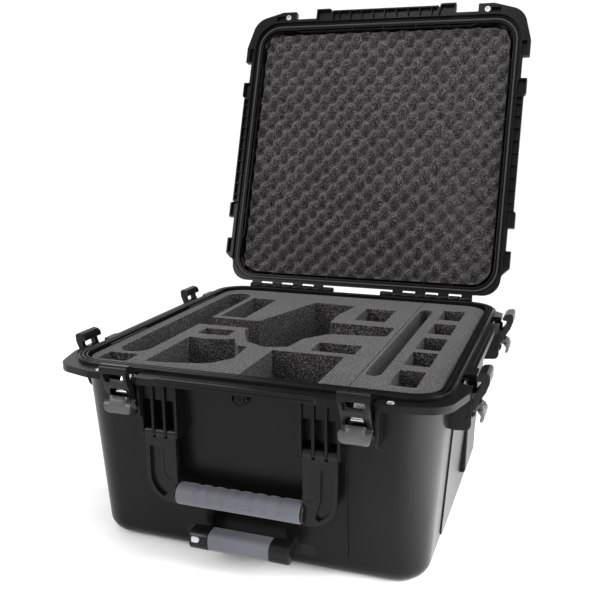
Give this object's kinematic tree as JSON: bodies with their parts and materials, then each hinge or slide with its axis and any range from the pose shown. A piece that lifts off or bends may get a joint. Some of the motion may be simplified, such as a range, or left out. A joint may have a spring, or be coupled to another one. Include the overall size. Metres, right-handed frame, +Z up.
{
  "type": "drone carrying case",
  "caption": "Hard carrying case with a hinged lid, draw latches, a swinging bail handle, a pull handle, wheels and foam cut for a drone.",
  "frame": {"origin": "centre of the flat bottom of the base, on the floor", "axes": "+X to the case's right, +Y to the back where the lid hinges, +Z up"},
  "size_m": [0.748, 0.982, 0.9916],
  "materials": {
    "shell_plastic": "satin",
    "latch_plastic": "satin",
    "pad_plastic": "satin",
    "grip_rubber": "matte",
    "steel": "satin",
    "foam": "matte",
    "seal_rubber": "matte",
    "button_plastic": "satin"
  },
  "bodies": {
    "base": {"base_shell": "shell_plastic", "base_rim": "shell_plastic", "foam_bottom_pad": "foam", "foam_main_lower": "foam", "foam_main_upper": "foam", "foam_battery_lower": "foam", "foam_battery_upper": "foam", "pressure_valve": "shell_plastic", "tube_housing": "latch_plastic", "pull_recess": "shell_plastic", "hinge_pin_left": "steel", "hinge_pin_right": "steel", "padlock_ring_base_left": "steel", "padlock_ring_base_right": "steel", "handle_pin_a": "steel", "handle_pin_b": "steel", "side_fitting_front_a": "shell_plastic", "latch_pin_front_a": "steel", "side_fitting_front_b": "shell_plastic", "latch_pin_front_b": "steel", "side_fitting_right_a": "shell_plastic", "latch_pin_right_a": "steel", "side_fitting_right_b": "shell_plastic", "latch_pin_right_b": "steel", "side_fitting_left_a": "shell_plastic", "latch_pin_left_a": "steel", "side_fitting_left_b": "shell_plastic", "latch_pin_left_b": "steel"},
    "lid": {"lid_shell": "shell_plastic", "lid_foam": "foam", "lid_gasket": "seal_rubber", "padlock_ring_lid_left": "steel", "padlock_ring_lid_right": "steel"},
    "handle": {"handle_bail": "latch_plastic", "handle_grip": "grip_rubber"},
    "claw_front_a": {"latch_claw_front_a": "latch_plastic"},
    "lever_front_a": {"latch_lever_front_a": "pad_plastic"},
    "link_front_a": {"latch_link_front_a": "steel"},
    "claw_front_b": {"latch_claw_front_b": "latch_plastic"},
    "lever_front_b": {"latch_lever_front_b": "pad_plastic"},
    "link_front_b": {"latch_link_front_b": "steel"},
    "claw_right_a": {"latch_claw_right_a": "latch_plastic"},
    "lever_right_a": {"latch_lever_right_a": "pad_plastic"},
    "link_right_a": {"latch_link_right_a": "steel"},
    "claw_right_b": {"latch_claw_right_b": "latch_plastic"},
    "lever_right_b": {"latch_lever_right_b": "pad_plastic"},
    "link_right_b": {"latch_link_right_b": "steel"},
    "claw_left_a": {"latch_claw_left_a": "latch_plastic"},
    "lever_left_a": {"latch_lever_left_a": "pad_plastic"},
    "link_left_a": {"latch_link_left_a": "steel"},
    "claw_left_b": {"latch_claw_left_b": "latch_plastic"},
    "lever_left_b": {"latch_lever_left_b": "pad_plastic"},
    "link_left_b": {"latch_link_left_b": "steel"},
    "pull_handle": {"pull_grip_bar": "shell_plastic", "pull_grip_sleeve": "pad_plastic", "pull_tube_left": "steel", "pull_tube_right": "steel"},
    "pull_button": {"pull_button": "button_plastic"},
    "wheel_left": {"wheel_left": "seal_rubber"},
    "wheel_right": {"wheel_right": "seal_rubber"}
  },
  "joints": [
    {"name": "lid_hinge", "type": "hinge", "parent": "base", "child": "lid", "pos_m": [0, 0.338, 0.333], "axis": [1, 0, 0], "range_deg": [0, 109]},
    {"name": "handle_swing", "type": "hinge", "parent": "base", "child": "handle", "pos_m": [0, -0.334, 0.23], "axis": [-1, 0, 0], "range_deg": [0, 95]},
    {"name": "claw_front_a_swing", "type": "hinge", "parent": "base", "child": "claw_front_a", "pos_m": [-0.198, -0.3425, 0.272], "axis": [-1, 0, 0], "range_deg": [0, 19]},
    {"name": "lever_front_a_swing", "type": "hinge", "parent": "claw_front_a", "child": "lever_front_a", "pos_m": [-0.198, -0.35, 0.285], "axis": [-1, 0, 0], "range_deg": [-22, 40]},
    {"name": "link_front_a_swing", "type": "hinge", "parent": "base", "child": "link_front_a", "pos_m": [-0.198, -0.331, 0.32], "axis": [-1, 0, 0], "range_deg": [-20, 1]},
    {"name": "claw_front_b_swing", "type": "hinge", "parent": "base", "child": "claw_front_b", "pos_m": [0.198, -0.3425, 0.272], "axis": [-1, 0, 0], "range_deg": [0, 19]},
    {"name": "lever_front_b_swing", "type": "hinge", "parent": "claw_front_b", "child": "lever_front_b", "pos_m": [0.198, -0.35, 0.285], "axis": [-1, 0, 0], "range_deg": [-22, 40]},
    {"name": "link_front_b_swing", "type": "hinge", "parent": "base", "child": "link_front_b", "pos_m": [0.198, -0.331, 0.32], "axis": [-1, 0, 0], "range_deg": [-20, 1]},
    {"name": "claw_right_a_swing", "type": "hinge", "parent": "base", "child": "claw_right_a", "pos_m": [0.3425, -0.198, 0.272], "axis": [0, -1, 0], "range_deg": [0, 19]},
    {"name": "lever_right_a_swing", "type": "hinge", "parent": "claw_right_a", "child": "lever_right_a", "pos_m": [0.35, -0.198, 0.285], "axis": [0, -1, 0], "range_deg": [-22, 40]},
    {"name": "link_right_a_swing", "type": "hinge", "parent": "base", "child": "link_right_a", "pos_m": [0.331, -0.198, 0.32], "axis": [0, -1, 0], "range_deg": [-20, 1]},
    {"name": "claw_right_b_swing", "type": "hinge", "parent": "base", "child": "claw_right_b", "pos_m": [0.3425, 0.198, 0.272], "axis": [0, -1, 0], "range_deg": [0, 19]},
    {"name": "lever_right_b_swing", "type": "hinge", "parent": "claw_right_b", "child": "lever_right_b", "pos_m": [0.35, 0.198, 0.285], "axis": [0, -1, 0], "range_deg": [-22, 40]},
    {"name": "link_right_b_swing", "type": "hinge", "parent": "base", "child": "link_right_b", "pos_m": [0.331, 0.198, 0.32], "axis": [0, -1, 0], "range_deg": [-20, 1]},
    {"name": "claw_left_a_swing", "type": "hinge", "parent": "base", "child": "claw_left_a", "pos_m": [-0.3425, 0.198, 0.272], "axis": [0, 1, 0], "range_deg": [0, 19]},
    {"name": "lever_left_a_swing", "type": "hinge", "parent": "claw_left_a", "child": "lever_left_a", "pos_m": [-0.35, 0.198, 0.285], "axis": [0, 1, 0], "range_deg": [-22, 40]},
    {"name": "link_left_a_swing", "type": "hinge", "parent": "base", "child": "link_left_a", "pos_m": [-0.331, 0.198, 0.32], "axis": [0, 1, 0], "range_deg": [-20, 1]},
    {"name": "claw_left_b_swing", "type": "hinge", "parent": "base", "child": "claw_left_b", "pos_m": [-0.3425, -0.198, 0.272], "axis": [0, 1, 0], "range_deg": [0, 19]},
    {"name": "lever_left_b_swing", "type": "hinge", "parent": "claw_left_b", "child": "lever_left_b", "pos_m": [-0.35, -0.198, 0.285], "axis": [0, 1, 0], "range_deg": [-22, 40]},
    {"name": "link_left_b_swing", "type": "hinge", "parent": "base", "child": "link_left_b", "pos_m": [-0.331, -0.198, 0.32], "axis": [0, 1, 0], "range_deg": [-20, 1]},
    {"name": "pull_handle_slide", "type": "slide", "parent": "base", "child": "pull_handle", "axis": [0, -1, 0], "range_m": [0, 0.4]},
    {"name": "pull_button_press", "type": "slide", "parent": "pull_handle", "child": "pull_button", "axis": [0, 1, 0], "range_m": [0, 0.003], "stiffness_N_per_m": 400},
    {"name": "wheel_left_spin", "type": "hinge", "parent": "base", "child": "wheel_left", "pos_m": [-0.2355, 0.276, 0.032], "axis": [1, 0, 0], "continuous": true},
    {"name": "wheel_right_spin", "type": "hinge", "parent": "base", "child": "wheel_right", "pos_m": [0.2355, 0.276, 0.032], "axis": [1, 0, 0], "continuous": true}
  ],
  "couplings": [
    {"joint": "link_front_a_swing", "follows": "claw_front_a_swing", "ratio": -1},
    {"joint": "link_front_b_swing", "follows": "claw_front_b_swing", "ratio": -1},
    {"joint": "link_right_a_swing", "follows": "claw_right_a_swing", "ratio": -1},
    {"joint": "link_right_b_swing", "follows": "claw_right_b_swing", "ratio": -1},
    {"joint": "link_left_a_swing", "follows": "claw_left_a_swing", "ratio": -1},
    {"joint": "link_left_b_swing", "follows": "claw_left_b_swing", "ratio": -1}
  ]
}
